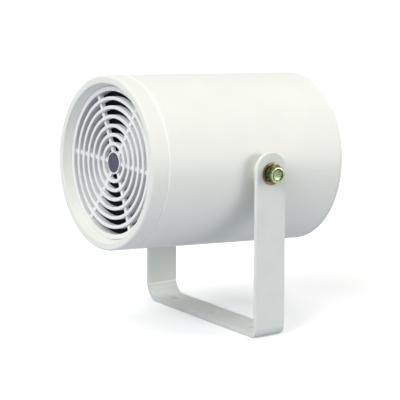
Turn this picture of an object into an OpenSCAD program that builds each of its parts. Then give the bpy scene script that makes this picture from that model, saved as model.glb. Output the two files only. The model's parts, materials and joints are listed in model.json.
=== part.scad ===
// Round projection loudspeaker for public address, on a swivel bracket.
// The origin is the middle of the bracket's underside, straight below the pivot axis.
// +Z is up, the speaker's front faces -Y, and the pivot axis runs along X.
// Right is +X and left is -X, as seen from the front.

/* [Housing] */
// Outside diameter of the moulded tube
tube_d = 148; // [136:0.5:170]
// Wall of the tube
tube_wall = 3; // [2.4:0.1:3.6]
// Length of tube ahead of the pivot, up to the bezel
tube_front = 96.8; // [90:0.1:110]
// Length of tube behind the pivot, back to the rear cover
tube_rear = 81.7; // [78:0.1:100]
// Bevel on the edges of each outside joint
seam_bevel = 0.5; // [0.2:0.1:1]
// Angle by which the front is raised above level
aim = 3.9; // [-20:0.1:20]
// Radius of the moulded boss at each pivot
boss_r = 10; // [8:0.1:12]
// How far the pivot boss reaches in from the tube's inside
boss_depth = 11; // [8:0.5:14]

/* [Front bezel] */
// Length of the bezel, from the tube to the front rim
bezel_length = 16; // [15:0.1:20]
// Width of the flat rim seen from the front
rim_band = 6.6; // [5:0.1:8]
// Depth of the recess in front of the grille
recess_depth = 7.5; // [5:0.1:9]
// How far the recess narrows on its way in
recess_taper = 2.4; // [1.6:0.1:3]
// Radius of the rim's outer edge
rim_round = 2; // [1:0.1:3]
// Radius of the rim's inner edge
lip_round = 0.8; // [0.4:0.1:1.2]
// Thickness of the flange that the grille sits on
flange_t = 2.7; // [2:0.1:4]
// Width of the flange, inwards from the recess
flange_w = 4.2; // [3.6:0.1:5]
// Length of the spigot tongues that enter the tube
spigot_length = 12; // [8:0.5:16]
// Wall of the spigot tongues
spigot_wall = 2; // [1.6:0.1:2.4]
// Angle taken up by each of the four spigot tongues
tongue_angle = 58; // [40:1:64]

/* [Grille] */
// Number of rings between the hub and the margin
ring_count = 6; // [4:1:7]
// Width of one ring
ring_w = 3; // [2:0.1:3.6]
// Radius on the front edges of the rings
ring_round = 0.6; // [0.4:0.1:1]
// Width of the flat margin round the grille
margin_w = 4; // [3.4:0.1:4.6]
// Radius of the hub
hub_r = 9.6; // [8.8:0.1:11]
// How far the middle of the grille is dished in
dish = 1.8; // [0.5:0.1:2.4]
// Number of spokes
spoke_count = 6; // [3:1:8]
// Width of a spoke
spoke_w = 3.4; // [2:0.1:4]
// How far the spokes lie behind the rings' front faces
spoke_recess = 2; // [0.4:0.1:3]
// Angle of the first spoke above the horizontal
spoke_turn = -1; // [-30:1:30]
// Radius of the badge disc in the hub
badge_r = 8.5; // [7:0.1:8.6]
// Thickness of the badge disc
badge_t = 0.8; // [0.5:0.1:1]

/* [Bracket] */
// Thickness of the steel strap
strap_t = 4; // [2.5:0.1:5]
// Width of the steel strap
strap_w = 30; // [26:0.5:36]
// Outside radius of the right bend, the tighter one
right_bend_r = 8; // [6:0.5:20]
// Outside radius of the left bend
left_bend_r = 16; // [6:0.5:20]
// How far the middle of each leg's round top lies above the pivot
leg_rise = 3; // [0:0.1:6]
// Radius along the strap's edges
strap_round = 0.6; // [0.3:0.1:0.9]
// Gap between the tube and each leg
leg_gap = 6.45; // [5:0.05:10]
// Clearance under the head when it is turned right round
swing_gap = 3.1; // [2:0.1:12]
// Diameter of the middle hole in the base
centre_hole_d = 10.5; // [6:0.1:12]
// Diameter of the two side holes in the base
side_hole_d = 9; // [5:0.1:12]
// Distance between the two side holes
side_hole_pitch = 120; // [90:1:124]

/* [Pivot] */
// Thread diameter of the pivot bolts
bolt_d = 8; // [6:0.5:8]
// Length of the bolt under its head
bolt_length = 20; // [17:1:22]
// Width across the flats of the bolt head
head_flats = 13; // [11:0.1:14]
// Height of the bolt head
head_h = 5.5; // [4:0.1:7]
// Depth of the dish in the top of the bolt head
head_dish = 0.7; // [0.3:0.1:1]
// Diameter of the flat washer
washer_d = 19; // [16:0.1:24]
// Thickness of the flat washer
washer_t = 1.6; // [1:0.1:2.5]
// Diameter of the spring washer
spring_washer_d = 14.8; // [13:0.1:16]
// Thickness of the spring washer
spring_washer_t = 2; // [1.2:0.1:2.5]
// Thickness of the fibre washer between boss and leg
friction_washer_t = 1.5; // [0.8:0.1:2.5]
// Outside diameter of the threaded insert in the boss
insert_d = 11.4; // [10.4:0.1:12]
// Length of the threaded insert
insert_length = 12; // [9:0.5:12]

/* [Driver] */
// Depth of the basket, from its front flange to the magnet plate
basket_depth = 36; // [33:0.5:42]
// Sheet thickness of the basket
basket_t = 1.2; // [0.8:0.1:1.6]
// Width of the flat front flange of the basket
basket_flange_w = 7; // [6.4:0.1:9]
// Height of the spider's shelf above the magnet plate
shelf_h = 9; // [7:0.5:12]
// Radius of the half roll of the surround
roll_r = 4; // [3:0.1:4.4]
// Thickness of the surround
surround_t = 0.5; // [0.3:0.1:0.8]
// Thickness of the paper cone
cone_t = 0.5; // [0.3:0.1:0.8]
// Radius of the dust cap
cap_r = 19; // [17:0.5:24]
// Height of the dust cap
cap_h = 6.5; // [4:0.5:8]
// Outside radius of the voice coil's former
former_r = 12.8; // [10:0.1:14]
// Wall of the voice coil's former
former_t = 0.4; // [0.2:0.1:0.5]
// Thickness of the copper winding on the former
winding_t = 0.4; // [0.2:0.1:0.6]
// Length of the copper winding
winding_length = 8; // [6:0.5:9]
// Thickness of the spider
spider_t = 0.5; // [0.3:0.1:0.8]
// Number of corrugations of the spider
spider_waves = 5; // [3:1:6]
// Height of one corrugation
spider_wave_h = 0.8; // [0.4:0.1:1]
// Radius of the magnet ring
magnet_r = 36; // [33:0.5:42]
// Radius of the hole in the magnet ring
magnet_bore_r = 17.5; // [16:0.5:20]
// Thickness of the magnet ring
magnet_t = 12; // [8:0.5:16]
// Radius of the two steel plates on the magnet
plate_r = 32; // [30:0.5:36]
// Thickness of the front steel plate
top_plate_t = 4; // [3:0.5:5]
// Thickness of the steel back plate
back_plate_t = 5; // [4:0.5:6]
// Thickness of the foam gasket in front of the driver
gasket_t = 6; // [5:0.1:8]
// Thickness of the dust screen
screen_t = 0.4; // [0.3:0.1:0.8]

/* [Line transformer] */
// Width of the laminated core
core_w = 57; // [48:0.5:62]
// Height of the laminated core, forward from its feet
core_h = 48; // [42:0.5:50]
// Thickness of the stack of laminations
core_stack = 25; // [18:0.5:30]
// Height of the rests that hold the core off the cover
rest_h = 5; // [4:0.5:8]
// Thickness of the clamp's sheet
clamp_t = 1.2; // [0.8:0.1:1.6]
// Width of the clamp
clamp_w = 16; // [12:0.5:20]
// Length of each foot of the clamp
clamp_foot = 12; // [10:0.5:13]

/* [Rear cover] */
// Thickness of the rear cover
cover_t = 3; // [2.4:0.1:4]
// Radius of the rear cover's outer edge
cover_round = 2; // [1:0.1:2.4]
// Thickness of the rubber seal behind the tube
seal_t = 1.2; // [0.8:0.1:1.8]
// Width of the rubber seal
seal_w = 1.2; // [0.8:0.1:1.4]
// Distance of the cable gland below the cover's middle
gland_drop = 44; // [38:0.5:48]
// Distance of the terminal block above the cover's middle
terminal_rise = 44; // [38:0.5:46]

/* [Cable gland] */
// Thread diameter of the gland
gland_d = 16; // [14:0.5:16]
// Width across the flats of the gland's body and nuts
gland_flats = 19; // [18.5:0.1:22]
// Thickness of the gland's collar
gland_collar = 5; // [3:0.5:7]
// Length of the gland's clamping nut
gland_nut_length = 14; // [12:0.5:18]
// Diameter of the cable that the seal takes
cable_d = 6.4; // [4:0.1:7]

/* [Fasteners] */
// Diameter of the thread-forming screws
screw_d = 3; // [2.5:0.1:3.2]
// Diameter of their pan heads
screw_head_d = 6; // [5:0.1:6.2]
// Height of their pan heads
screw_head_h = 2.2; // [1.6:0.1:2.6]
// Length of the screws under the head
screw_length = 12; // [9:0.5:12]
// Radius of the moulded screw bosses in the front
front_boss_r = 3.1; // [2.8:0.1:3.2]
// Radius of the moulded screw bosses at the rear
rear_boss_r = 4.6; // [3.5:0.1:5]

/* [Fits] */
// Slip fit between spigots and tube
slip = 0.15; // [0.05:0.05:0.3]
// Gap round the grille disc, seen as a fine dark line
seat_gap = 0.35; // [0.2:0.05:0.5]
// Play on each side of a leg, and of every seated disc
play = 0.05; // [0.02:0.01:0.1]
// Clearance round a screw or bolt in its plain hole
hole_play = 0.5; // [0.3:0.05:0.6]
// Space between the driver and the spigot tongues
driver_gap = 1.8; // [1:0.1:2.4]

/* [Hidden] */
$fn = 96;

shell_colour = [0.93, 0.94, 0.90];
bracket_colour = [0.86, 0.88, 0.87];
black = [0.06, 0.06, 0.07];
steel = [0.70, 0.71, 0.72];
brass = [0.78, 0.66, 0.38];
paper = [0.13, 0.12, 0.12];

// Radii of the tube and its spigots
tube_r = tube_d / 2;
bore_r = tube_r - tube_wall;
spigot_r = bore_r - slip;
spigot_in_r = spigot_r - spigot_wall;

// Stations along the head's own axis, counted forward from the pivot
rim_z = tube_front + bezel_length;
face_z = rim_z - recess_depth;
grille_back = tube_front + flange_t;
cover_front = -tube_rear;
cover_back = cover_front - cover_t;

// The bezel's recess, the seat at its foot, and the opening in its flange
lip_r = tube_r - rim_band;
seat_r = lip_r - recess_taper;
open_r = seat_r - flange_w;

// Rings of the grille share what the hub, the rings and the margin leave
disc_r = seat_r - seat_gap;
margin_in_r = disc_r - margin_w;
gap_w = (margin_in_r - hub_r - ring_count * ring_w) / (ring_count + 1);
hub_front = face_z - dish;

// Screws stand in fours, midway between the spigot tongues
corner_angles = [45, 135, 225, 315];
front_screw_r = bore_r - front_boss_r - 0.4;
rear_screw_r = bore_r - rear_boss_r + 0.2;

// Driver, worked out backwards from the bezel's flange
stack_front = tube_front - screen_t - gasket_t;
basket_front = stack_front - surround_t;
basket_r = spigot_in_r - driver_gap;
landing_r = basket_r - basket_flange_w;
gasket_r = front_screw_r - front_boss_r - 0.6;
cone_r = landing_r - 2 * roll_r;
cone_lip = 2;
plate_z = basket_front - basket_depth;
shelf_z = plate_z + shelf_h;
shelf_r = 40;
shelf_w = 8;
neck_z = shelf_z + 4;
plate_front = plate_z - basket_t;
plate_back = plate_front - top_plate_t;
magnet_back = plate_back - magnet_t;
gap_r = former_r + winding_t + 0.6;
pole_r = former_r - former_t - 0.5;

// Line transformer, standing on the rests of the rear cover
core_z = cover_front + rest_h;
core_leg = core_w / 3;
window_w = core_w / 6;
window_h = core_w / 2;
clamp_screw_x = core_w / 2 + clamp_t + clamp_foot / 2;

// Pivot stack, counted outwards from the middle of the speaker
leg_in = tube_r + leg_gap;
leg_out = leg_in + strap_t;
boss_out = leg_in - play - friction_washer_t;
washer_in = leg_out + play;
spring_in = washer_in + washer_t;
head_in = spring_in + spring_washer_t;

// The legs are as long as the head needs to turn right round over the base
pivot_h = strap_t + swing_gap + norm([rim_z, tube_r]);

// Hexagon prism of a given width across its flats
module hexagon(flats, height) cylinder(h = height, d = flats / cos(30), $fn = 6);

// Rectangle with rounded corners, centred
module soft_rect(w, h, r) {
    square([w - 2 * r, h], center = true);
    square([w, h - 2 * r], center = true);
    for (x = [-1, 1], y = [-1, 1]) translate([x * (w / 2 - r), y * (h / 2 - r)]) circle(r);
}

// Flat ring between two radii
module washer(r_out, r_in, t) difference() {
    cylinder(h = t, r = r_out);
    translate([0, 0, -1]) cylinder(h = t + 2, r = r_in);
}

// Corner of a square with its round left off, as a cutter for one outside edge
module edge_cut(r) difference() {
    square(r + 1);
    circle(r);
}

// Outline of a bent sheet: points run from the outside inwards, and t is laid behind them
function unit(v) = v / norm(v);
function turned(v) = [-v[1], v[0]];
function mitre(p, i) =
    let (
        last = len(p) - 1,
        before = i > 0 ? unit(p[i] - p[i - 1]) : unit(p[1] - p[0]),
        after = i < last ? unit(p[i + 1] - p[i]) : before,
        middle = unit(turned(before) + turned(after))
    )
    middle / (middle * turned(before));
module sheet(p, t)
    polygon(concat(p, [for (i = [len(p) - 1:-1:0]) p[i] + mitre(p, i) * t]));

// The head's own frame: z runs forward from the pivot, y is up, x stays
module in_head() translate([0, 0, pivot_h]) rotate([90 - aim, 0, 0]) children();

// Outwards along the pivot axis from the middle, on one side
module at_pivot(side, x) in_head() rotate([0, 90 * side, 0]) translate([0, 0, x]) children();

// Four copies between the tongues, at one radius
module at_corners(r) for (a = corner_angles) rotate([0, 0, a]) translate([r, 0, 0]) children();

// Four tongues that enter the tube's bore, rooted in the part that carries them
tongue_root = 1;
module tongues(z) for (a = [0, 90, 180, 270])
    rotate([0, 0, a - tongue_angle / 2]) rotate_extrude(angle = tongue_angle)
        translate([spigot_in_r, z]) square([spigot_wall, spigot_length + tongue_root]);

// One steel strap, bent to a U, with round ends above the pivots
module leg(r) {
    translate([leg_out - r, 0, r]) rotate([90, 0, 0]) rotate([0, 0, -90])
        rotate_extrude(angle = 90) translate([r - strap_t / 2, 0])
            soft_rect(strap_t, strap_w, strap_round);
    translate([leg_out - strap_t / 2, 0, r]) linear_extrude(pivot_h + leg_rise - r)
        soft_rect(strap_t, strap_w, strap_round);
    translate([leg_out - strap_t / 2, 0, pivot_h + leg_rise]) rotate([0, 90, 0])
        rotate_extrude() intersection() {
            soft_rect(strap_w, strap_t, strap_round);
            translate([0, -strap_t]) square([strap_w, 2 * strap_t]);
        }
}
module bracket() color(bracket_colour) difference() {
    union() {
        translate([left_bend_r - leg_out, 0, strap_t / 2]) rotate([90, 0, 90])
            linear_extrude(2 * leg_out - left_bend_r - right_bend_r)
                soft_rect(strap_w, strap_t, strap_round);
        leg(right_bend_r);
        mirror([1, 0, 0]) leg(left_bend_r);
    }
    translate([0, 0, -1]) cylinder(h = strap_t + 2, d = centre_hole_d);
    for (side = [-1, 1]) {
        translate([side * side_hole_pitch / 2, 0, -1]) cylinder(h = strap_t + 2, d = side_hole_d);
        translate([side * leg_out, 0, pivot_h]) rotate([0, 90, 0])
            cylinder(h = 4 * strap_t, d = bolt_d + 2 * hole_play, center = true);
    }
}

// Outside bevel at one end of the tube or of a part that meets it
module bevel(z) translate([tube_r, z]) rotate(45) square(seam_bevel * sqrt(2), center = true);

// Moulded tube with two pivot bosses and four rear screw bosses
module housing() color(shell_colour) in_head() difference() {
    union() {
        rotate_extrude() difference() {
            translate([bore_r, cover_front]) square([tube_wall, tube_front + tube_rear]);
            bevel(tube_front);
            bevel(cover_front);
        }
        for (side = [-1, 1]) rotate([0, 90 * side, 0]) difference() {
            translate([0, 0, bore_r - boss_depth])
                cylinder(h = boss_out - bore_r + boss_depth, r = boss_r);
            translate([0, 0, boss_out - insert_length]) cylinder(h = insert_length + 1, d = insert_d);
            translate([0, 0, bore_r - boss_depth + 2]) cylinder(h = boss_out, d = bolt_d + 2 * hole_play);
        }
        at_corners(rear_screw_r) translate([0, 0, cover_front])
            cylinder(h = screw_length + 3, r = rear_boss_r);
    }
    for (side = [-1, 1]) rotate([0, 90 * side, 0])
        translate([0, 0, boss_out - insert_length]) cylinder(h = insert_length + 1, d = insert_d);
    at_corners(rear_screw_r) translate([0, 0, cover_front - 1])
        cylinder(h = screw_length + 1, d = screw_d);
    translate([0, 0, cover_front - 1]) difference() {
        cylinder(h = seal_t + 1, r = bore_r + seal_w);
        translate([0, 0, -1]) cylinder(h = seal_t + 3, r = bore_r);
    }
}

// Angle at which the recess wall leans
recess_angle = atan(recess_taper / recess_depth);

// Middle of the round on the rim's inner edge
lip_z = rim_z - lip_round;
lip_x = lip_r - lip_round * tan(recess_angle) + lip_round / cos(recess_angle);

// Front ring: rim, tapered recess, flange for grille and driver, spigot tongues
module front_bezel() color(shell_colour) in_head() {
    difference() {
        union() {
            rotate_extrude() difference() {
                translate([open_r, tube_front]) square([tube_r - open_r, bezel_length]);
                polygon([
                    [0, grille_back], [seat_r, grille_back], [seat_r, face_z],
                    [lip_r, rim_z], [lip_r, rim_z + 1], [0, rim_z + 1]
                ]);
                difference() {
                    polygon([
                        [lip_r - 1, rim_z + 1], [lip_x, rim_z + 1], [lip_x, lip_z],
                        [lip_x - lip_round * cos(recess_angle), lip_z + lip_round * sin(recess_angle)],
                        [lip_r - lip_round, lip_z]
                    ]);
                    translate([lip_x, lip_z]) circle(lip_round);
                }
                translate([tube_r - rim_round, rim_z - rim_round]) edge_cut(rim_round);
                bevel(tube_front);
            }
            at_corners(front_screw_r) translate([0, 0, basket_front])
                cylinder(h = tube_front - basket_front + 1, r = front_boss_r);
        }
        at_corners(front_screw_r) translate([0, 0, basket_front - 1])
            cylinder(h = screw_length + 2, d = screw_d);
    }
    tongues(tube_front - spigot_length);
}

// Front face of the dished grille at one radius
function front_at(r) = face_z - dish * (1 - r / margin_in_r);

// Section of one ring, with its two front edges rounded
module ring_section(r_in, w, front, r) {
    translate([r_in, grille_back]) square([w, front - r - grille_back]);
    translate([r_in + r, grille_back]) square([w - 2 * r, front - grille_back]);
    for (x = [r_in + r, r_in + w - r]) translate([x, front - r]) circle(r);
}

// Round grille moulded in one piece: hub, concentric rings, margin and recessed spokes
module front_grille() color(shell_colour) in_head() difference() {
    union() {
        rotate_extrude() for (i = [1:ring_count]) {
            r_in = hub_r + i * gap_w + (i - 1) * ring_w;
            ring_section(r_in, ring_w, front_at(r_in + ring_w / 2), ring_round);
        }
        rotate_extrude() ring_section(margin_in_r, margin_w, face_z, ring_round / 2);
        rotate_extrude() intersection() {
            ring_section(-hub_r, 2 * hub_r, hub_front, ring_round / 2);
            square([hub_r + 1, rim_z]);
        }
        intersection() {
            for (i = [0:spoke_count - 1]) rotate([0, 0, spoke_turn + i * 360 / spoke_count])
                translate([hub_r - 1, -spoke_w / 2, grille_back])
                    cube([margin_in_r - hub_r + 2, spoke_w, recess_depth]);
            rotate_extrude() polygon([
                [0, grille_back], [margin_in_r + 1, grille_back],
                [margin_in_r + 1, front_at(margin_in_r + 1) - spoke_recess],
                [0, front_at(0) - spoke_recess]
            ]);
        }
    }
    translate([0, 0, hub_front - badge_t]) cylinder(h = badge_t + 1, r = badge_r + play);
}

// Bare disc that closes the hub
module hub_badge() color([0.36, 0.36, 0.44]) in_head()
    translate([0, 0, hub_front - badge_t]) cylinder(h = badge_t - play, r = badge_r);

// Black woven screen, clamped between the bezel's flange and the gasket
module dust_screen() color(black) in_head()
    translate([0, 0, stack_front + gasket_t]) cylinder(h = screen_t, r = gasket_r);

// Foam ring between the driver and the bezel
module driver_gasket() color([0.20, 0.20, 0.21]) in_head()
    translate([0, 0, stack_front]) washer(gasket_r, landing_r + surround_t, gasket_t);

// Pressed basket: flange with four ears, open cone, spider shelf and magnet plate
ear_r = 5.5;
window_angle = 60;
window_edge = 4.5;
module driver_basket() color([0.16, 0.16, 0.17]) in_head() difference() {
    union() {
        rotate_extrude() sheet([
            [basket_r, basket_front], [landing_r, basket_front], [landing_r - 2, basket_front - 3],
            [shelf_r, shelf_z], [shelf_r - shelf_w, shelf_z],
            [shelf_r - shelf_w - 1, plate_z], [gap_r + 1, plate_z]
        ], basket_t);
        translate([0, 0, basket_front - basket_t]) linear_extrude(basket_t) intersection() {
            difference() {
                circle(bore_r - 0.4);
                circle(landing_r + 2);
            }
            at_corners(front_screw_r) circle(ear_r);
        }
    }
    for (a = [0, 90, 180, 270]) rotate([0, 0, a - window_angle / 2])
        rotate_extrude(angle = window_angle) translate([shelf_r + window_edge, shelf_z - basket_t])
            square([landing_r - shelf_r - 2 * window_edge, basket_depth]);
    at_corners(front_screw_r) translate([0, 0, basket_front - 2 * basket_t])
        cylinder(h = 3 * basket_t, d = screw_d + hole_play);
}

// Flexible edge: outer flat, half roll, inner lip glued to the cone
module surround() color(black) in_head() rotate_extrude() translate([0, basket_front]) {
    translate([landing_r, 0]) square([gasket_r - landing_r, surround_t]);
    translate([cone_r - cone_lip, 0]) square([cone_lip, surround_t]);
    intersection() {
        translate([cone_r + roll_r, 0]) difference() {
            circle(roll_r + surround_t / 2);
            circle(roll_r - surround_t / 2);
        }
        translate([cone_r - roll_r, 0]) square([4 * roll_r, 2 * roll_r]);
    }
}

// Front surface of the cone, from its lip to its neck; it flattens towards the edge
cone_steps = 12;
cone_edge_r = cone_r - cone_lip;
function cone_z(r) =
    let (t = (r - former_r) / (cone_edge_r - former_r))
    neck_z + (basket_front - neck_z) * (1 - pow(1 - t, 1.5));
cone_line = [
    for (i = [cone_steps:-1:0])
        let (r = former_r + (cone_edge_r - former_r) * i / cone_steps)
        [r, cone_z(r)]
];

// Paper cone with a flat lip at its edge
module cone() color(paper) in_head() rotate_extrude() intersection() {
    sheet(concat([[cone_r, basket_front]], cone_line), cone_t);
    translate([former_r, 0]) square([cone_r, rim_z]);
}

// Domed cap over the voice coil, seated on the cone
cap_sphere_r = (cap_r * cap_r + cap_h * cap_h) / (2 * cap_h);
module dust_cap() color([0.10, 0.10, 0.10]) in_head() rotate_extrude() difference() {
    intersection() {
        translate([0, cone_z(cap_r) + cap_h - cap_sphere_r]) difference() {
            circle(cap_sphere_r);
            circle(cap_sphere_r - cone_t);
        }
        translate([0, cone_z(cap_r) - 1]) square([cap_r, cap_h + 2]);
    }
    polygon(concat(cone_line, [[0, neck_z], [0, neck_z - 5], [cone_edge_r, neck_z - 5]]));
}

// Former with its copper winding, hanging in the magnet's gap
module voice_coil() color([0.72, 0.42, 0.25]) in_head() rotate_extrude() {
    coil_middle = (plate_front + plate_back) / 2;
    translate([former_r - former_t, coil_middle - winding_length / 2])
        square([former_t, neck_z + 1 - coil_middle + winding_length / 2]);
    translate([former_r, coil_middle - winding_length / 2]) square([winding_t, winding_length]);
}

// Corrugated cloth ring that centres the coil
spider_steps = 12 * spider_waves;
spider_out = shelf_r - 1.5;
spider_wave_out = shelf_r - shelf_w - 0.5;
spider_wave_in = former_r + 1.5;
module spider() color([0.76, 0.60, 0.26]) in_head() rotate_extrude()
    sheet(concat(
        [[spider_out, shelf_z + spider_t]],
        [for (i = [0:spider_steps])
            [spider_wave_out - (spider_wave_out - spider_wave_in) * i / spider_steps,
             shelf_z + spider_t + spider_wave_h * sin(360 * spider_waves * i / spider_steps)]],
        [[former_r, shelf_z + spider_t]]
    ), spider_t);

// Front steel plate with the gap's outer pole
module top_plate() color(steel) in_head()
    translate([0, 0, plate_back]) washer(plate_r, gap_r, top_plate_t);

// Ferrite ring
module magnet() color([0.22, 0.22, 0.23]) in_head()
    translate([0, 0, magnet_back]) washer(magnet_r, magnet_bore_r, magnet_t);

// Back plate and vented pole in one piece
module pole_yoke() color(steel) in_head() translate([0, 0, magnet_back - back_plate_t])
    difference() {
        union() {
            cylinder(h = back_plate_t, r = plate_r);
            cylinder(h = plate_front - magnet_back + back_plate_t, r = pole_r);
        }
        translate([0, 0, -1]) cylinder(h = basket_depth, r = pole_r / 3);
    }

// Board with two solder lugs behind the spider's shelf
tag_r = shelf_r - shelf_w + basket_t + 0.3;
tag_w = 5;
tag_length = 16;
tag_t = 1.6;
tag_lug = [0.6, 3, 5];
module tag_strip() color([0.55, 0.38, 0.22]) in_head() rotate([0, 0, 45])
    translate([tag_r, 0, shelf_z - basket_t - tag_t]) {
        translate([0, -tag_length / 2, 0]) cube([tag_w, tag_length, tag_t]);
        for (y = [-1, 1]) translate([tag_w / 2, y * tag_length / 4 - tag_lug[1] / 2, -tag_lug[2]])
            cube(tag_lug);
    }

// Pan-head screw: its head is behind z = 0 and its shank runs forward
module screw(length = screw_length) {
    cylinder(h = length, d = screw_d);
    translate([0, 0, -screw_head_h]) difference() {
        rotate_extrude() intersection() {
            union() {
                translate([0, 1]) square([screw_head_d / 2, screw_head_h - 1]);
                square([screw_head_d / 2 - 1, screw_head_h]);
                translate([screw_head_d / 2 - 1, 1]) circle(1);
            }
            square([screw_head_d, screw_head_h]);
        }
        for (a = [0, 90]) rotate([0, 0, a]) translate([-screw_head_d / 3, -0.4, -1])
            cube([screw_head_d * 2 / 3, 0.8, 2]);
    }
}

// Four screws through the basket's ears into the bezel's bosses
module driver_screws() color(steel) in_head()
    at_corners(front_screw_r) translate([0, 0, basket_front - basket_t]) screw();

// Stack of E and I laminations, with two windows
module transformer_core() color([0.36, 0.36, 0.38]) in_head()
    translate([0, 0, core_z + core_h / 2]) difference() {
        cube([core_w, core_stack, core_h], center = true);
        for (side = [-1, 1]) translate([side * (core_leg + window_w) / 2, 0, 0])
            cube([window_w, core_stack + 2, window_h], center = true);
    }

// Box round the core's middle leg, grown by one value on every side
module leg_box(grow, h)
    cube([core_leg + 2 * grow, core_stack + 2 * grow, h], center = true);

// Moulded bobbin: a sleeve with two flanges
bobbin_wall = 1;
module transformer_bobbin() color([0.90, 0.88, 0.80]) in_head()
    translate([0, 0, core_z + core_h / 2]) difference() {
        union() {
            leg_box(bobbin_wall, window_h);
            for (z = [-1, 1]) translate([0, 0, z * (window_h - bobbin_wall) / 2])
                leg_box(window_w - play, bobbin_wall);
        }
        leg_box(0, window_h + 2);
    }

// Taped winding between the bobbin's flanges
module transformer_winding() color([0.80, 0.65, 0.20]) in_head()
    translate([0, 0, core_z + core_h / 2]) difference() {
        leg_box(window_w - 1, window_h - 2 * bobbin_wall);
        leg_box(bobbin_wall, window_h);
    }

// Bent clamp over the core, with a foot on each side
module transformer_clamp() color(steel) in_head() difference() {
    translate([0, clamp_w / 2, 0]) rotate([90, 0, 0]) linear_extrude(clamp_w) {
        translate([-core_w / 2 - clamp_t, core_z + core_h]) square([core_w + 2 * clamp_t, clamp_t]);
        for (side = [0, 1]) mirror([side, 0]) {
            translate([core_w / 2, core_z]) square([clamp_t, core_h + clamp_t]);
            translate([core_w / 2, core_z]) square([clamp_t + clamp_foot, clamp_t]);
        }
    }
    for (side = [-1, 1]) translate([side * clamp_screw_x, 0, core_z - 1])
        cylinder(h = clamp_t + 2, d = screw_d + hole_play);
}

// Two screws through the clamp's feet, driven backwards
clamp_screw_length = rest_h + clamp_t;
module transformer_screws() color(steel) in_head() for (side = [-1, 1])
    translate([side * clamp_screw_x, 0, core_z + clamp_t]) mirror([0, 0, 1])
        screw(clamp_screw_length);

// Four-way terminal block on the inside of the rear cover
terminal_w = 34;
terminal_d = 15;
terminal_h = 12;
terminal_pitch = 7;
terminal_ways = 4;
entry_d = 3;
clamp_hole_d = 3.6;
terminal_screw_d = 2.2;
terminal_screw_head = [4.2, 1.4];
terminal_screw_x = terminal_w / 2 - terminal_screw_d;
terminal_foot_h = 2;
module terminal_block() color([0.88, 0.87, 0.82]) in_head()
    translate([0, terminal_rise, cover_front + terminal_foot_h]) difference() {
        translate([-terminal_w / 2, -terminal_d / 2, 0]) cube([terminal_w, terminal_d, terminal_h]);
        for (i = [1:terminal_ways])
            translate([(i - (terminal_ways + 1) / 2) * terminal_pitch, 0, terminal_h / 3]) {
                for (y = [-1, 1]) translate([0, y * terminal_d / 4, 1])
                    cylinder(h = terminal_h, d = clamp_hole_d);
                rotate([90, 0, 0]) cylinder(h = terminal_d + 2, d = entry_d, center = true);
            }
        for (side = [-1, 1]) translate([side * terminal_screw_x, 0, -1])
            cylinder(h = terminal_h + 2, d = terminal_screw_d + hole_play);
    }

// Two long screws that hold the terminal block
module terminal_screws() color(steel) in_head() for (side = [-1, 1])
    translate([side * terminal_screw_x, terminal_rise, cover_front]) {
        cylinder(h = terminal_foot_h + terminal_h, d = terminal_screw_d);
        translate([0, 0, terminal_foot_h + terminal_h])
            cylinder(h = terminal_screw_head[1], d = terminal_screw_head[0]);
    }

// Rear cover with tongues, rests for the transformer and a hole for the gland
rest_r = 4.4;
rib_w = 4;
terminal_foot_r = 3;
module rear_cover() color(shell_colour) in_head() difference() {
    union() {
        rotate_extrude() difference() {
            translate([0, cover_back]) square([tube_r, cover_t]);
            translate([tube_r - cover_round, cover_back + cover_round]) mirror([0, 1])
                edge_cut(cover_round);
            bevel(cover_front);
        }
        tongues(cover_front - tongue_root);
        for (side = [-1, 1]) {
            translate([side * clamp_screw_x, 0, cover_front - 1])
                cylinder(h = rest_h + 1, r = rest_r);
            translate([-core_w / 2 + rib_w, side * core_stack / 3 - rib_w / 2, cover_front - 1])
                cube([core_w - 2 * rib_w, rib_w, rest_h + 1]);
            translate([side * terminal_screw_x, terminal_rise, cover_front - 1])
                cylinder(h = terminal_foot_h + 1, r = terminal_foot_r);
        }
    }
    translate([0, -gland_drop, cover_back - 1]) cylinder(h = cover_t + 2, d = gland_d + 2 * play);
    at_corners(rear_screw_r) translate([0, 0, cover_back - 1])
        cylinder(h = cover_t + 2, d = screw_d + hole_play);
    for (side = [-1, 1]) {
        translate([side * clamp_screw_x, 0, core_z + clamp_t - clamp_screw_length])
            cylinder(h = rest_h + 1, d = screw_d);
        translate([side * terminal_screw_x, terminal_rise, cover_front])
            cylinder(h = terminal_foot_h + 1, d = terminal_screw_d);
    }
}

// Rubber ring in the rebate at the tube's rear end
module rear_seal() color(black) in_head()
    translate([0, 0, cover_front]) washer(bore_r + seal_w, bore_r, seal_t);

// Four screws through the rear cover into the tube's bosses
module rear_screws() color(steel) in_head()
    at_corners(rear_screw_r) translate([0, 0, cover_back]) screw();

// The gland's own frame: z runs outwards from the rear cover's outer face
module at_gland() in_head() translate([0, -gland_drop, cover_back]) mirror([0, 0, 1]) children();

gland_bore_r = gland_d / 2 - 2.6;
gland_nose_r = gland_d / 2 - 0.5;
gland_thread = 8;
gland_tail = 2;
locknut_t = 5;
gland_colour = [0.22, 0.22, 0.23];

// Threaded body with its hexagon collar outside the cover
module gland_body() color(gland_colour) at_gland() difference() {
    union() {
        hexagon(gland_flats, gland_collar);
        cylinder(h = gland_collar + gland_thread, r = gland_nose_r);
        translate([0, 0, -cover_t - locknut_t - gland_tail])
            cylinder(h = cover_t + locknut_t + gland_tail + 1, d = gland_d);
    }
    translate([0, 0, -cover_t - locknut_t - gland_tail - 1])
        cylinder(h = 2 * gland_thread + cover_t + locknut_t + gland_collar, r = gland_bore_r);
}

// Rubber sleeve that grips the cable
module gland_seal() color(black) at_gland()
    translate([0, 0, gland_collar - 1]) washer(gland_bore_r, cable_d / 2, gland_thread + 2);

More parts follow.
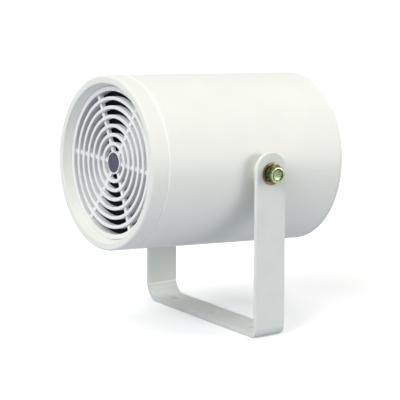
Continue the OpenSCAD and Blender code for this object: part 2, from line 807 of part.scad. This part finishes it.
// Domed clamping nut
nut_lift = 0.6;
nut_dome_r = 15;
module gland_nut() color(gland_colour) at_gland() translate([0, 0, gland_collar + nut_lift])
    difference() {
        intersection() {
            hexagon(gland_flats, gland_nut_length);
            translate([0, 0, gland_nut_length - nut_dome_r]) sphere(nut_dome_r);
        }
        translate([0, 0, -1]) cylinder(h = gland_thread + 1 + nut_lift, r = gland_nose_r);
        cylinder(h = gland_nut_length + 1, r = cable_d / 2 + 1.2);
    }

// Thin nut on the inside of the cover
module gland_locknut() color(gland_colour) at_gland()
    translate([0, 0, -cover_t - locknut_t]) difference() {
        hexagon(gland_flats, locknut_t);
        translate([0, 0, -1]) cylinder(h = locknut_t + 2, d = gland_d);
    }

// Brass insert in the pivot boss
module insert(side) color(brass) at_pivot(side, boss_out - insert_length) difference() {
    cylinder(h = insert_length, d = insert_d);
    translate([0, 0, -1]) cylinder(h = insert_length + 2, d = bolt_d);
}

// Fibre washer between boss and leg
module friction_washer(side) color(black) at_pivot(side, boss_out)
    washer(boss_r, bolt_d / 2 + hole_play, friction_washer_t);

// Flat washer against the outside of the leg
module flat_washer(side) color(brass) at_pivot(side, washer_in)
    washer(washer_d / 2, bolt_d / 2 + 0.2, washer_t);

// Split spring washer
module spring_washer(side) color(brass) at_pivot(side, spring_in) difference() {
    washer(spring_washer_d / 2, bolt_d / 2 + 0.1, spring_washer_t);
    rotate([0, 0, 200]) translate([spring_washer_d / 4, 0, spring_washer_t / 2]) rotate([20, 0, 0])
        cube([spring_washer_d / 2 + 2, 0.8, 3 * spring_washer_t], center = true);
}

// Hexagon bolt with chamfered corners and a dished top
head_face_r = head_flats / 2 - 0.3;
dish_floor_r = head_flats / 2 - 2.6;
module bolt(side) color(brass) at_pivot(side, head_in) {
    translate([0, 0, -bolt_length]) cylinder(h = bolt_length, d = bolt_d);
    difference() {
        intersection() {
            hexagon(head_flats, head_h);
            rotate_extrude() polygon([
                [0, 0], [head_flats, 0], [head_flats, head_h - (head_flats - head_face_r) / 2],
                [head_face_r, head_h], [0, head_h]
            ]);
        }
        translate([0, 0, head_h - head_dish])
            cylinder(h = 2 * head_dish, r1 = dish_floor_r, r2 = 2 * (head_face_r - 0.6) - dish_floor_r);
    }
}

bracket();
housing();
front_bezel();
front_grille();
hub_badge();
dust_screen();
driver_gasket();
driver_basket();
surround();
cone();
dust_cap();
voice_coil();
spider();
top_plate();
magnet();
pole_yoke();
tag_strip();
driver_screws();
transformer_core();
transformer_bobbin();
transformer_winding();
transformer_clamp();
transformer_screws();
terminal_block();
terminal_screws();
rear_cover();
rear_seal();
rear_screws();
gland_body();
gland_seal();
gland_nut();
gland_locknut();
insert(1);  // right_insert
friction_washer(1);  // right_friction_washer
flat_washer(1);  // right_flat_washer
spring_washer(1);  // right_spring_washer
bolt(1);  // right_bolt
insert(-1);  // left_insert
friction_washer(-1);  // left_friction_washer
flat_washer(-1);  // left_flat_washer
spring_washer(-1);  // left_spring_washer
bolt(-1);  // left_bolt
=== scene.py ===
import json
import math

import bpy
from mathutils import Matrix, Vector


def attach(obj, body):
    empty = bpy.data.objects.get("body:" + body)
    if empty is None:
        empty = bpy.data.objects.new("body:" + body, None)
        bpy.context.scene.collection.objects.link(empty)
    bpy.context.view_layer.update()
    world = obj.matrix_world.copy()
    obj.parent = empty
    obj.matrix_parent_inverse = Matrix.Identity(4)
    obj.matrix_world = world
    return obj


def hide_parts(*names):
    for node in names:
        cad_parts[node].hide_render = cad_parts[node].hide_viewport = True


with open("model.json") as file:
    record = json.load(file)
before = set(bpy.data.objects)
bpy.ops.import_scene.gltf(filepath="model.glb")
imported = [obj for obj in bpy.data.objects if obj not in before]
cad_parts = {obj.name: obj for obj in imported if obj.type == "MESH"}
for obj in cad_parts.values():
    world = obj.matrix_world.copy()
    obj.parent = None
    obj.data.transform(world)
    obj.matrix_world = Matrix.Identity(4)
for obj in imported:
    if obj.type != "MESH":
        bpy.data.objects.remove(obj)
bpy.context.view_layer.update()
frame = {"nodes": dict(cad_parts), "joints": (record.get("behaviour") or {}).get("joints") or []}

# Camera
# A long lens 1.8 m away, a little above the speaker and to its right, aimed just below
# and to the left of the pivot.
pivot = Vector(frame["joints"][0]["pos_m"])
camera_azimuth = math.radians(55.36)
camera_elevation = math.radians(11.79)
camera_roll = math.radians(0.15)
camera_distance = 1.8332
camera_lens = 189.39
aim_offset = Vector((-0.01204, -0.0364))

camera_back = Vector((
    math.sin(camera_azimuth) * math.cos(camera_elevation),
    -math.cos(camera_azimuth) * math.cos(camera_elevation),
    math.sin(camera_elevation),
))
level_right = Vector((math.cos(camera_azimuth), math.sin(camera_azimuth), 0))
level_up = camera_back.cross(level_right)
camera_right = level_right * math.cos(camera_roll) + level_up * math.sin(camera_roll)
camera_up = level_up * math.cos(camera_roll) - level_right * math.sin(camera_roll)
camera_place = pivot + camera_right * aim_offset.x + camera_up * aim_offset.y
camera_place += camera_back * camera_distance

bpy.ops.object.camera_add()
camera = bpy.context.object
camera.data.sensor_width = 36
camera.data.lens = camera_lens
camera.data.clip_start = 0.1
camera.data.clip_end = 20
camera.matrix_world = Matrix.Translation(camera_place) @ Matrix(
    (camera_right, camera_up, camera_back)
).transposed().to_4x4()
bpy.context.scene.camera = camera

# Bracket
# One strap of 4 mm steel, sheared, drilled and bent to a U, then powder coated in light grey.
# The baked powder flows into a fine orange peel with a satin shine. A low bead is raised along
# the crease that the press left across the left bend and round the edges of the base holes,
# and a painted highlight, near white, lies on these beads.


def linear(code):
    """The sRGB colour of a hex code, as the linear colour that a shader takes."""
    parts = [int(code[i : i + 2], 16) / 255 for i in (0, 2, 4)]
    return [p / 12.92 if p <= 0.04045 else ((p + 0.055) / 1.055) ** 2.4 for p in parts] + [1]


def add(tree, kind, inputs=None, **settings):
    """A new node with its settings, and each input given a value or joined to a socket."""
    node = tree.nodes.new(kind)
    for name, value in settings.items():
        setattr(node, name, value)
    for name, value in (inputs or {}).items():
        if isinstance(value, bpy.types.NodeSocket):
            tree.links.new(value, node.inputs[name])
        else:
            node.inputs[name].default_value = value
    return node


def new_finish(name, roughness, **values):
    """A new material, with its node tree, its shader and its object coordinates in metres."""
    material = bpy.data.materials.new(name)
    material.use_nodes = True
    tree = material.node_tree
    shader = tree.nodes["Principled BSDF"]
    shader.inputs["Roughness"].default_value = roughness
    for key, value in values.items():
        shader.inputs[key.replace("_", " ").title()].default_value = value
    place = add(tree, "ShaderNodeTexCoord").outputs["Object"]
    return material, tree, shader, place


def clouds(tree, place, size, *codes):
    """Hex colours that drift into each other in clouds of the given size in metres."""
    cloud = add(tree, "ShaderNodeTexNoise", {"Vector": place, "Scale": 1 / size, "Detail": 2})
    ramp = add(tree, "ShaderNodeValToRGB", {"Fac": cloud.outputs["Fac"]})
    points = ramp.color_ramp.elements
    while len(points) < len(codes):
        points.new(0.5)
    for i, code in enumerate(codes):
        points[i].position = 0.3 + 0.4 * i / (len(codes) - 1)
        points[i].color = linear(code)
    return ramp.outputs["Color"]


def grained(tree, shader, place, size, depth):
    """A grainy skin: lumps of the given size in metres, raised by the given depth."""
    lumps = add(tree, "ShaderNodeTexNoise", {"Vector": place, "Scale": 1 / size, "Detail": 2})
    bump = add(tree, "ShaderNodeBump", {"Height": lumps.outputs["Fac"], "Distance": depth})
    tree.links.new(bump.outputs["Normal"], shader.inputs["Normal"])


def dress(material, *names):
    """Gives the material to CAD nodes."""
    for name in names:
        frame["nodes"][name].material_slots[0].material = material


strap_thickness = 0.004
hole_spots = ((-0.06, 0.0045), (0, 0.00525), (0.06, 0.0045))
bead_width = 0.001
bead_height = 0.0003
crease_height = 0.0142
crease_width = 0.0012
crease_reach = (-0.083, -0.078)
peel_width = 0.0015
peel_depth = 0.00003
powder, tree, shader, place = new_finish("powder_coat_on_steel", 0.5)
shader.inputs["Specular IOR Level"].default_value = 0.35
coat_and_highlight = clouds(tree, place, 0.02, "E1E6E0", "E6EAE5")
spot = add(tree, "ShaderNodeSeparateXYZ", {"Vector": place})
level = add(tree, "ShaderNodeMath", {
    0: spot.outputs["Z"], 1: crease_height
}, operation="SUBTRACT")
level = add(tree, "ShaderNodeMath", {0: level.outputs[0]}, operation="ABSOLUTE")
line = add(tree, "ShaderNodeMapRange", {
    "Value": level.outputs[0], "From Min": crease_width, "From Max": 0.4 * crease_width
})
outer = add(tree, "ShaderNodeMath", {
    0: spot.outputs["X"], 1: crease_reach[0]
}, operation="GREATER_THAN")
inner = add(tree, "ShaderNodeMath", {
    0: spot.outputs["X"], 1: crease_reach[1]
}, operation="LESS_THAN")
leg = add(tree, "ShaderNodeMath", {0: outer.outputs[0], 1: inner.outputs[0]}, operation="MULTIPLY")
beads_and_highlight = add(tree, "ShaderNodeMath", {0: line.outputs[0], 1: leg.outputs[0]}, operation="MULTIPLY")
for hole_x, hole_radius in hole_spots:
    reach = add(tree, "ShaderNodeVectorMath", {
        0: place, 1: (hole_x, 0, strap_thickness)
    }, operation="DISTANCE")
    rim = add(tree, "ShaderNodeMapRange", {
        "Value": reach.outputs["Value"],
        "From Min": hole_radius + bead_width,
        "From Max": hole_radius,
    })
    beads_and_highlight = add(tree, "ShaderNodeMath", {
        0: beads_and_highlight.outputs[0], 1: rim.outputs[0]
    }, operation="MAXIMUM")
# Painted highlight: the crease line and the rims of the base holes are painted near white.
coat_and_highlight = add(tree, "ShaderNodeMix", {
    "Factor": beads_and_highlight.outputs[0], 6: coat_and_highlight, 7: linear("FCFCF4")
}, data_type="RGBA")
tree.links.new(coat_and_highlight.outputs[2], shader.inputs["Base Color"])
peel = add(tree, "ShaderNodeTexNoise", {"Vector": place, "Scale": 1 / peel_width, "Detail": 1})
peel = add(tree, "ShaderNodeBump", {"Height": peel.outputs["Fac"], "Distance": peel_depth})
raised = add(tree, "ShaderNodeBump", {
    "Height": beads_and_highlight.outputs[0], "Distance": bead_height, "Normal": peel.outputs["Normal"]
})
tree.links.new(raised.outputs["Normal"], shader.inputs["Normal"])
dress(powder, "bracket")

# Tube, bezel and rear cover
# Moulded in ivory-white ABS. The tool's fine spark erosion leaves a satin skin, and the thick
# sections cool with a hardly seen cloudiness. At the seam with the bezel the tube's front
# edge is eased, and a thin band behind it is painted lighter as a painted highlight.
stroke = Vector(frame["joints"][1]["axis"])
aim = math.asin(stroke.z)


def in_head(tree, place):
    """The head's own coordinates: its axis is Y, and the pivot is the middle."""
    return add(tree, "ShaderNodeMapping", {
        "Vector": place, "Location": pivot, "Rotation": (-aim, 0, 0)
    }, vector_type="TEXTURE").outputs["Vector"]


seam = -0.0968
eased_width = 0.0022
skin_width = 0.0008
skin_depth = 0.00002
shell_abs, tree, shader, place = new_finish("abs_moulded_satin", 0.45)
along = add(tree, "ShaderNodeSeparateXYZ", {"Vector": in_head(tree, place)})
edge = add(tree, "ShaderNodeMapRange", {
    "Value": along.outputs["Y"], "From Min": seam, "From Max": seam + eased_width
})
# Painted highlight: a thin band just behind the seam is painted near white.
painted_highlight = add(tree, "ShaderNodeMath", {
    0: along.outputs["Y"], 1: seam + 0.35 * eased_width, 2: 0.4 * eased_width
}, operation="COMPARE")
shade = add(tree, "ShaderNodeMix", {
    "Factor": painted_highlight.outputs[0],
    6: clouds(tree, place, 0.03, "ECEEE6", "EFF1E9"),
    7: linear("FBFCF8"),
}, data_type="RGBA")
tree.links.new(shade.outputs[2], shader.inputs["Base Color"])
edge = add(tree, "ShaderNodeBump", {"Height": edge.outputs[0], "Distance": 0.2 * eased_width})
skin = add(tree, "ShaderNodeTexNoise", {"Vector": place, "Scale": 1 / skin_width, "Detail": 2})
skin = add(tree, "ShaderNodeBump", {
    "Height": skin.outputs["Fac"], "Distance": skin_depth, "Normal": edge.outputs["Normal"]
})
tree.links.new(skin.outputs["Normal"], shader.inputs["Normal"])
dress(shell_abs, "housing", "front_bezel", "rear_cover")

# Grille
# One moulding in the same ABS, seated on the flange in the bezel's recess. Its tool is
# polished, so the rings are a little glossier than the tube.
grille_abs, tree, shader, place = new_finish("abs_moulded_grille", 0.36)
tree.links.new(clouds(tree, place, 0.02, "EEF0EF", "F1F3F2"), shader.inputs["Base Color"])
grained(tree, shader, place, 0.0012, 0.00001)
dress(grille_abs, "front_grille")

# Badge
# A bare disc of anodised aluminium, dyed grey-violet, turned on a lathe and pressed into the
# hub. The turning marks, 0.1 mm apart in fact, are drawn 0.4 mm apart so that they show.
wave_length = 0.314  # A wave texture of scale 1 repeats after this many metres
badge_metal, tree, shader, place = new_finish("anodised_aluminium_badge", 0.34, metallic=0.7)
tree.links.new(clouds(tree, place, 0.004, "3E4054", "4A4C62"), shader.inputs["Base Color"])


def turned(tree, shader, place, spacing, depth):
    """Rings round the head's axis, as a lathe leaves them."""
    rings = add(tree, "ShaderNodeTexWave", {
        "Vector": in_head(tree, place), "Scale": wave_length / spacing, "Distortion": 0.3
    }, wave_type="RINGS", rings_direction="Y")
    bump = add(tree, "ShaderNodeBump", {"Height": rings.outputs["Fac"], "Distance": depth})
    tree.links.new(bump.outputs["Normal"], shader.inputs["Normal"])


turned(tree, shader, place, 0.0004, 0.00001)
dress(badge_metal, "hub_badge")

# Dust screen
# Black polyester cloth in plain weave behind the grille, 0.6 mm from thread to thread and
# drawn at 1 mm. The dark holes between the threads swallow the light.
screen_cloth, tree, shader, place = new_finish("woven_polyester_screen", 0.9)


def woven(tree, shader, place, pitch, thread, hole, depth):
    """Plain weave over X and Z: crossing threads in one colour, with darker holes."""
    strands = [
        add(tree, "ShaderNodeTexWave", {"Vector": place, "Scale": wave_length / pitch},
            wave_type="BANDS", bands_direction=axis).outputs["Fac"]
        for axis in ("X", "Z")
    ]
    over = add(tree, "ShaderNodeMath", {0: strands[0], 1: strands[1]}, operation="MAXIMUM")
    shade = add(tree, "ShaderNodeMix", {
        "Factor": over.outputs[0], 6: linear(hole), 7: linear(thread)
    }, data_type="RGBA")
    bump = add(tree, "ShaderNodeBump", {"Height": over.outputs[0], "Distance": depth})
    tree.links.new(shade.outputs[2], shader.inputs["Base Color"])
    tree.links.new(bump.outputs["Normal"], shader.inputs["Normal"])


woven(tree, shader, place, 0.001, "17171A", "030303", 0.0002)
shader.inputs["Specular IOR Level"].default_value = 0.2
dress(screen_cloth, "dust_screen")

# Gasket
# Open-cell polyurethane foam, cut to a ring. Its cells are about 0.8 mm wide.
foam, tree, shader, place = new_finish("polyurethane_foam", 0.95)
cells = add(tree, "ShaderNodeTexVoronoi", {"Vector": place, "Scale": 1 / 0.0008})
pores = add(tree, "ShaderNodeMapRange", {"Value": cells.outputs["Distance"], "From Max": 0.7})
shade = add(tree, "ShaderNodeMix", {
    "Factor": pores.outputs[0], 6: linear("3C3C3F"), 7: linear("232325")
}, data_type="RGBA")
bump = add(tree, "ShaderNodeBump", {"Height": pores.outputs[0], "Distance": 0.0003}, invert=True)
tree.links.new(shade.outputs[2], shader.inputs["Base Color"])
tree.links.new(bump.outputs["Normal"], shader.inputs["Normal"])
dress(foam, "driver_gasket")

# Basket and its screws
# Sheet steel pressed to a basket and dipped in black stoving lacquer. The four screws are
# steel with a black zinc passivate.
lacquer, tree, shader, place = new_finish("black_stoved_lacquer", 0.33)
tree.links.new(clouds(tree, place, 0.01, "141416", "1B1B1D"), shader.inputs["Base Color"])
grained(tree, shader, place, 0.001, 0.00002)
dress(lacquer, "driver_basket")

black_zinc, tree, shader, place = new_finish("black_passivated_zinc", 0.38, metallic=1.0)
tree.links.new(clouds(tree, place, 0.002, "2A2A2D", "3A3A3A"), shader.inputs["Base Color"])
grained(tree, shader, place, 0.0004, 0.00001)
dress(black_zinc, "driver_screws")

# Surround, cone and dust cap
# The surround is a roll of rubberised cloth. Cone and cap are pressed from black paper pulp,
# whose fibres lie every way and show as a short felted grain.
surround_rubber, tree, shader, place = new_finish("rubberised_cloth_roll", 0.7)
tree.links.new(clouds(tree, place, 0.003, "121213", "1A1A1B"), shader.inputs["Base Color"])
grained(tree, shader, place, 0.0006, 0.00003)
dress(surround_rubber, "surround")

pulp, tree, shader, place = new_finish("pressed_paper_pulp", 0.85)
felt = add(tree, "ShaderNodeTexNoise", {
    "Vector": place, "Scale": 1 / 0.0016, "Detail": 5, "Distortion": 2.5
})
shade = add(tree, "ShaderNodeMix", {
    "Factor": felt.outputs["Fac"], 6: linear("141313"), 7: linear("2B2929")
}, data_type="RGBA")
bump = add(tree, "ShaderNodeBump", {"Height": felt.outputs["Fac"], "Distance": 0.00008})
tree.links.new(shade.outputs[2], shader.inputs["Base Color"])
tree.links.new(bump.outputs["Normal"], shader.inputs["Normal"])
dress(pulp, "cone", "dust_cap")

# Voice coil and spider
# Enamelled copper wire of 0.2 mm, drawn at 0.4 mm, on a paper former. The spider is cotton
# stiffened with amber resin and pressed into rings.
copper, tree, shader, place = new_finish("enamelled_copper_winding", 0.3, metallic=1.0)
tree.links.new(clouds(tree, place, 0.003, "B5693F", "C4794C"), shader.inputs["Base Color"])
turns = add(tree, "ShaderNodeTexWave", {
    "Vector": in_head(tree, place), "Scale": wave_length / 0.0004
}, wave_type="BANDS", bands_direction="Y")
bump = add(tree, "ShaderNodeBump", {"Height": turns.outputs["Fac"], "Distance": 0.0001})
tree.links.new(bump.outputs["Normal"], shader.inputs["Normal"])
dress(copper, "voice_coil")

spider_cloth, tree, shader, place = new_finish("resin_stiffened_cotton", 0.6)
woven(tree, shader, place, 0.0012, "C79B45", "8E6A28", 0.0001)
dress(spider_cloth, "spider")

# Magnet, plates and tag board
# A sintered ring of grey-black ferrite between two turned steel plates with a clear zinc
# passivate, which has a faint blue tinge. The board is brown paper laminate.
ferrite, tree, shader, place = new_finish("sintered_ferrite", 0.62)
tree.links.new(clouds(tree, place, 0.004, "2B2B2D", "39393B"), shader.inputs["Base Color"])
grained(tree, shader, place, 0.0007, 0.00004)
dress(ferrite, "magnet")

blue_zinc, tree, shader, place = new_finish("clear_passivated_zinc", 0.3, metallic=1.0)
tree.links.new(clouds(tree, place, 0.006, "A9AFB6", "B9BCBC"), shader.inputs["Base Color"])
turned(tree, shader, place, 0.0006, 0.00001)
dress(blue_zinc, "top_plate", "pole_yoke")

laminate, tree, shader, place = new_finish("phenolic_paper_laminate", 0.5)
tree.links.new(clouds(tree, place, 0.0015, "7A4F2C", "95663B"), shader.inputs["Base Color"])
grained(tree, shader, place, 0.0005, 0.00002)
dress(laminate, "tag_strip")

# Line transformer
# A stack of 0.5 mm silicon-steel laminations, drawn at 1 mm, dipped in varnish. Its nylon
# bobbin carries a winding under yellow polyester tape, and a sheet-steel clamp holds it down.
stack, tree, shader, place = new_finish("varnished_laminations", 0.45, metallic=0.6)
tree.links.new(clouds(tree, place, 0.008, "4A4A4D", "5E5C58"), shader.inputs["Base Color"])
sheets = add(tree, "ShaderNodeTexWave", {
    "Vector": in_head(tree, place), "Scale": wave_length / 0.001
}, wave_type="BANDS", bands_direction="Z")
bump = add(tree, "ShaderNodeBump", {"Height": sheets.outputs["Fac"], "Distance": 0.00015})
tree.links.new(bump.outputs["Normal"], shader.inputs["Normal"])
dress(stack, "transformer_core")

nylon, tree, shader, place = new_finish("natural_nylon", 0.5, subsurface_weight=0.1)
tree.links.new(clouds(tree, place, 0.01, "E3DECB", "EAE6D6"), shader.inputs["Base Color"])
grained(tree, shader, place, 0.0009, 0.00002)
dress(nylon, "transformer_bobbin", "terminal_block")

tape, tree, shader, place = new_finish("yellow_polyester_tape", 0.25)
tree.links.new(clouds(tree, place, 0.012, "D2A52C", "DDB541"), shader.inputs["Base Color"])
laps = add(tree, "ShaderNodeTexWave", {
    "Vector": in_head(tree, place), "Scale": wave_length / 0.009, "Distortion": 0.6
}, wave_type="BANDS", bands_direction="Y", wave_profile="SAW")
bump = add(tree, "ShaderNodeBump", {"Height": laps.outputs["Fac"], "Distance": 0.0001})
tree.links.new(bump.outputs["Normal"], shader.inputs["Normal"])
dress(tape, "transformer_winding")

sheet_zinc, tree, shader, place = new_finish("zinc_plated_sheet", 0.35, metallic=1.0)
tree.links.new(clouds(tree, place, 0.005, "A8ADB2", "BFC1C0"), shader.inputs["Base Color"])
grained(tree, shader, place, 0.0006, 0.00001)
dress(sheet_zinc, "transformer_clamp", "transformer_screws", "terminal_screws")

# Seal and rear screws
# The seal is black nitrile rubber. The screws are bright stainless steel, with the fine
# lines of rolling and heading.
nitrile, tree, shader, place = new_finish("moulded_nitrile_rubber", 0.75)
tree.links.new(clouds(tree, place, 0.004, "161617", "1F1F20"), shader.inputs["Base Color"])
grained(tree, shader, place, 0.0007, 0.00002)
dress(nitrile, "rear_seal", "gland_seal")

stainless, tree, shader, place = new_finish("headed_stainless_steel", 0.28, metallic=1.0)
tree.links.new(clouds(tree, place, 0.002, "A3A6A6", "B8BAB8"), shader.inputs["Base Color"])
grained(tree, shader, place, 0.0005, 0.00001)
dress(stainless, "rear_screws")

# Cable gland
# Moulded in dark grey nylon with a fine matt grain: a hexagon body through the cover, a
# domed nut that squeezes the sleeve, and a locknut inside.
grey_nylon, tree, shader, place = new_finish("grey_nylon_moulding", 0.5)
tree.links.new(clouds(tree, place, 0.006, "3B3C3F", "444548"), shader.inputs["Base Color"])
grained(tree, shader, place, 0.0007, 0.00003)
dress(grey_nylon, "gland_body", "gland_nut", "gland_locknut")

# Pivot hardware
# M8 bolts with flat and spring washers in yellow-passivated zinc, whose thin film shimmers
# from gold through pink to green. They screw into turned brass inserts in the bosses, and
# black vulcanised fibre washers give the friction.


def passivated(name, *codes):
    """Zinc whose passivate shifts between hex colours, with painted shade that darkens its
    corners.
    """
    zinc, tree, shader, place = new_finish(name, 0.27, metallic=1.0)
    film_and_painted_light = clouds(tree, place, 0.004, *codes)
    open_to_light = add(tree, "ShaderNodeAmbientOcclusion", {"Distance": 0.0016}, samples=8)
    # Painted shade: where ambient occlusion finds corners, the colour is mixed towards dark brown.
    film_and_painted_light = add(tree, "ShaderNodeMix", {
        "Factor": open_to_light.outputs["AO"], 6: linear("33291A"), 7: film_and_painted_light
    }, data_type="RGBA").outputs[2]
    tree.links.new(film_and_painted_light, shader.inputs["Base Color"])
    grained(tree, shader, place, 0.0006, 0.00002)
    return zinc, tree, shader, place, film_and_painted_light


def soften(name, body, width):
    """Puts a merged copy with its sharp edges broken in the place of a CAD node."""
    sharp = math.radians(28)
    piece = frame["nodes"][name].copy()
    piece.data = piece.data.copy()
    piece.name = name + "_softened"
    bpy.context.scene.collection.objects.link(piece)
    bpy.ops.object.select_all(action="DESELECT")
    bpy.context.view_layer.objects.active = piece
    piece.select_set(True)
    bpy.ops.object.mode_set(mode="EDIT")
    bpy.ops.mesh.select_all(action="SELECT")
    bpy.ops.mesh.remove_doubles(threshold=0.000002)
    bpy.ops.mesh.dissolve_limited(angle_limit=math.radians(0.5))
    bpy.ops.object.mode_set(mode="OBJECT")
    edges = piece.modifiers.new("edges", "BEVEL")
    edges.width = width
    edges.segments = 2
    edges.angle_limit = sharp
    bpy.ops.object.modifier_apply(modifier="edges")
    bpy.ops.object.shade_smooth_by_angle(angle=sharp)
    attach(piece, body)
    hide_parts(name)


washer_zinc = passivated("yellow_passivate_gold_film", "4E4630", "94845A", "74584A", "453F2C")[0]

# The head's face is dished. Painted shade darkens the dish's wall, a painted highlight lies
# pale on the rim round it, and the six sides are a little darker.
face_radius = 0.008
bolt_zinc, tree, shader, place, film_and_painted_light = passivated(
    "yellow_passivate_green_film", "4F6C4B", "789070", "8E9270", "45613F"
)
reach = add(tree, "ShaderNodeVectorMath", {0: place, 1: pivot}, operation="SUBTRACT")
reach = add(tree, "ShaderNodeVectorMath", {
    0: reach.outputs[0], 1: (0, 1, 1)
}, operation="MULTIPLY")
reach = add(tree, "ShaderNodeVectorMath", {0: reach.outputs[0]}, operation="LENGTH")
reach = add(tree, "ShaderNodeMapRange", {
    "Value": reach.outputs["Value"], "From Max": face_radius
})
# Painted shade: the colour is multiplied darker on the dish's wall, and a little darker on the six
# sides.
painted_shade_by_radius = add(tree, "ShaderNodeValToRGB", {"Fac": reach.outputs[0]})
points = painted_shade_by_radius.color_ramp.elements
points[0].position, points[0].color = 0.0036 / face_radius, linear("FFFFFF")
points[1].position, points[1].color = 1.0, linear("D8CDB8")
for radius, code in (
    (0.0048, "8A8A72"), (0.0054, "6A6450"), (0.0057, "FFFFFF"), (0.0063, "FFFFFF")
):
    point = points.new(radius / face_radius)
    point.color = linear(code)
rim_inside = add(tree, "ShaderNodeMapRange", {
    "Value": reach.outputs[0],
    "From Min": 0.0055 / face_radius,
    "From Max": 0.0058 / face_radius,
    "To Max": 0.5,
})
rim_outside = add(tree, "ShaderNodeMapRange", {
    "Value": reach.outputs[0], "From Min": 0.0066 / face_radius, "From Max": 0.0062 / face_radius
})
# Painted highlight: the rim round the dish is painted pale.
painted_highlight = add(tree, "ShaderNodeMath", {
    0: rim_inside.outputs[0], 1: rim_outside.outputs[0]
}, operation="MULTIPLY")
film_and_painted_light = add(tree, "ShaderNodeMix", {
    "Factor": 1.0, 6: film_and_painted_light, 7: painted_shade_by_radius.outputs["Color"]
}, data_type="RGBA", blend_type="MULTIPLY")
film_and_painted_light = add(tree, "ShaderNodeMix", {
    "Factor": painted_highlight.outputs[0], 6: film_and_painted_light.outputs[2], 7: linear("DDD8B8")
}, data_type="RGBA")
tree.links.new(film_and_painted_light.outputs[2], shader.inputs["Base Color"])

turned_brass, tree, shader, place = new_finish("turned_brass", 0.3, metallic=1.0)
tree.links.new(clouds(tree, place, 0.003, "B8944C", "C7A55E"), shader.inputs["Base Color"])
grained(tree, shader, place, 0.0005, 0.00001)

fibre, tree, shader, place = new_finish("vulcanised_fibre", 0.6)
tree.links.new(clouds(tree, place, 0.002, "1A1817", "242120"), shader.inputs["Base Color"])
grained(tree, shader, place, 0.0005, 0.00003)

for side in ("right", "left"):
    dress(turned_brass, side + "_insert")
    dress(fibre, side + "_friction_washer")
    dress(washer_zinc, side + "_flat_washer")
    dress(bolt_zinc, side + "_bolt", side + "_spring_washer")
    soften(side + "_bolt", "head", 0.00025)
    soften(side + "_flat_washer", "head", 0.0002)
    soften(side + "_spring_washer", "head", 0.0002)

# Floor and lights
# A plain sheet of matt white paper in a white studio. Two broad lamps stand in front and one
# overhead. The wall on the right sends back much light and the other walls a little. The
# paper gives back less than the camera sees in it, as a table smaller than its backdrop does.


def seen_rays(tree):
    """1 for the rays that show the studio: to the camera, mirrored or through glass."""
    path = add(tree, "ShaderNodeLightPath")
    seen = add(tree, "ShaderNodeMath", {
        0: path.outputs["Is Camera Ray"], 1: path.outputs["Is Glossy Ray"]
    }, operation="MAXIMUM")
    seen = add(tree, "ShaderNodeMath", {
        0: seen.outputs[0], 1: path.outputs["Is Transmission Ray"]
    }, operation="MAXIMUM")
    return seen.outputs[0]


bpy.ops.mesh.primitive_plane_add(size=12, location=(0, 0, 0))
floor = bpy.context.object
floor.name = "floor"
paper_glow = 0.3
floor_paper, tree, shader, place = new_finish("white_paper_sweep", 0.9)
seen = seen_rays(tree)
shade = add(tree, "ShaderNodeMix", {
    "Factor": seen, 6: linear("B0B6C7"), 7: linear("FCFCFC")
}, data_type="RGBA")
glow = add(tree, "ShaderNodeMath", {0: seen, 1: paper_glow}, operation="MULTIPLY")
tree.links.new(shade.outputs[2], shader.inputs["Base Color"])
shader.inputs["Emission Color"].default_value = (1, 1, 1, 1)
tree.links.new(glow.outputs[0], shader.inputs["Emission Strength"])
floor.data.materials.append(floor_paper)

wall_light = 0.13
world = bpy.data.worlds.new("white_studio")
bpy.context.scene.world = world
world.use_nodes = True
tree = world.node_tree
seen = seen_rays(tree)
strength = add(tree, "ShaderNodeMapRange", {
    "Value": seen, "To Min": wall_light, "To Max": 1.0
})
tree.nodes["Background"].inputs["Color"].default_value = (1, 1, 1, 1)
tree.links.new(strength.outputs["Result"], tree.nodes["Background"].inputs["Strength"])

lamp_spread = math.radians(35)


def soft_lamp(name, direction, share, colour):
    """A distant soft lamp: a share of 1 lights a surface that faces it to its own colour."""
    lamp = bpy.data.lights.new(name, "SUN")
    lamp.energy = math.pi * share
    lamp.angle = lamp_spread
    lamp.color = linear(colour)[:3]
    item = bpy.data.objects.new(name, lamp)
    bpy.context.scene.collection.objects.link(item)
    item.rotation_euler = Vector(direction).to_track_quat("Z", "Y").to_euler()


soft_lamp("front_high", (0.05, -0.55, 0.83), 0.28, "FFFFFC")
soft_lamp("front_right", (0.30, -0.80, 0.50), 0.46, "FFFEFD")
soft_lamp("rear_right", (0.43, 0.75, 0.50), 0.10, "F8F8FF")
soft_lamp("right_wall", (0.76, 0.64, 0.10), 0.44, "FFFAF2")
soft_lamp("top", (0.0, 0.1, 1.0), 0.27, "FEFFFC")
soft_lamp("left_wall", (-0.95, -0.1, 0.30), 0.09, "F6F8FF")

bpy.context.scene.view_settings.view_transform = "Standard"
